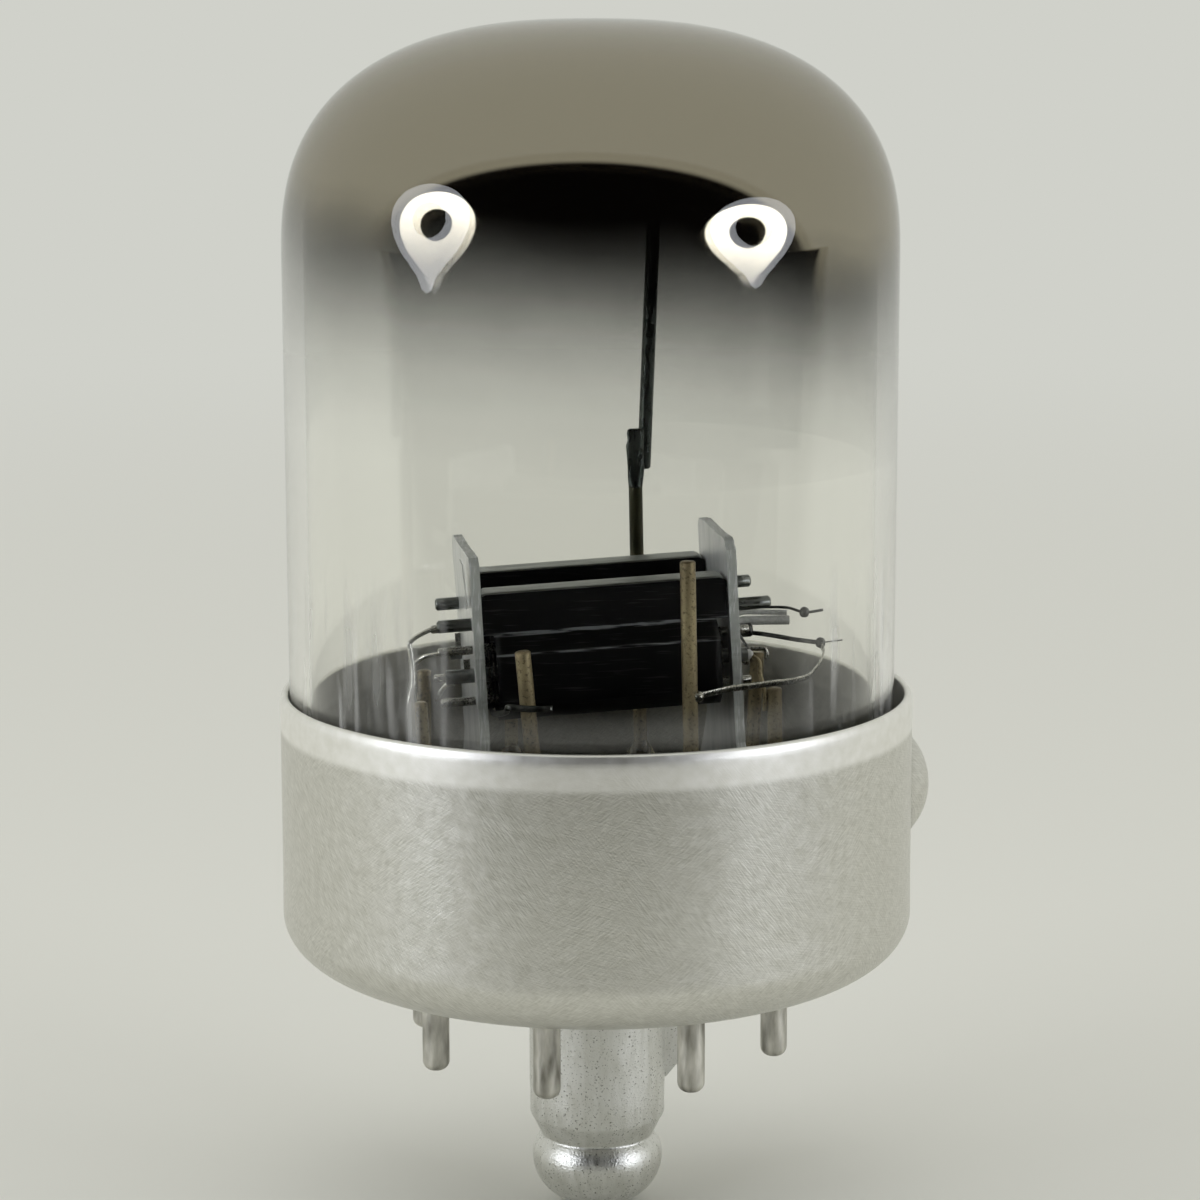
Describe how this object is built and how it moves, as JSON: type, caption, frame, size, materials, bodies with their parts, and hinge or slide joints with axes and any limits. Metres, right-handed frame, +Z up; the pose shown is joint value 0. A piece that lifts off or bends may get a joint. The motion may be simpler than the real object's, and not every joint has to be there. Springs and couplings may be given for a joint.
{
  "type": "twin triode vacuum tube",
  "caption": "Receiving tube: domed glass bulb on a metal lock-in base shell, with a grooved locating lug, short contact pins and two horizontal triodes between mica plates.",
  "frame": {"origin": "centre of the base shell's underside, on the locating lug's axis", "axes": "+Z up along the tube through the bulb, +X towards the key on the locating lug"},
  "size_m": [0.0311, 0.03, 0.0567],
  "materials": {
    "shell": "brushed and tumbled, scuffed, smoother along the rim",
    "lug": "bright plated steel, worn satin on the straight stretch",
    "cement": "matt, tan basing cement",
    "stem_glass": "pressed, clear",
    "bulb_glass": "blown, clear",
    "getter_film": "silvery brown mirror that thins downwards",
    "pins": "dull, tinned, scratched",
    "leads": "oxidised from the glass seal",
    "getter": "dark, satin",
    "mica": "milky flakes, sprayed",
    "anodes": "black carbonised nickel, bare on the fins' top edges",
    "anode_rods": "satin nickel",
    "grids": "drawn wire",
    "heater_coating": "white, chalky",
    "cathodes": "nickel",
    "wires": "nickel wire and ribbon"
  },
  "bodies": {
    "root": {"base_shell": "shell", "locating_lug": "lug", "base_cement": "cement", "glass_stem": "stem_glass", "glass_bulb": "bulb_glass", "getter_film": "getter_film", "pin_1": "pins", "pin_2": "pins", "pin_3": "pins", "pin_4": "pins", "pin_5": "pins", "pin_6": "pins", "pin_7": "pins", "pin_8": "pins", "lead_1": "leads", "lead_2": "leads", "lead_3": "leads", "lead_4": "leads", "lead_5": "leads", "lead_6": "leads", "lead_7": "leads", "lead_8": "leads", "getter_rod": "getter", "getter": "getter", "mica_left": "mica", "mica_right": "mica", "anode_front": "anodes", "anode_rear": "anodes", "anode_rod_front": "anode_rods", "anode_rod_rear": "anode_rods", "grid_front": "grids", "grid_rear": "grids", "cathode_front": "cathodes", "cathode_rear": "cathodes", "cathode_tab_front": "cathodes", "cathode_tab_rear": "cathodes", "heater_front": "heater_coating", "heater_rear": "heater_coating", "heater_leg": "wires", "heater_ribbon": "wires", "heater_link": "wires", "heater_wire": "wires", "anode_wire_front": "wires", "anode_strap_rear": "wires", "cathode_wire_front": "wires", "cathode_wire_rear": "wires", "grid_strap_front": "wires", "grid_wire_rear": "wires"}
  },
  "joints": []
}
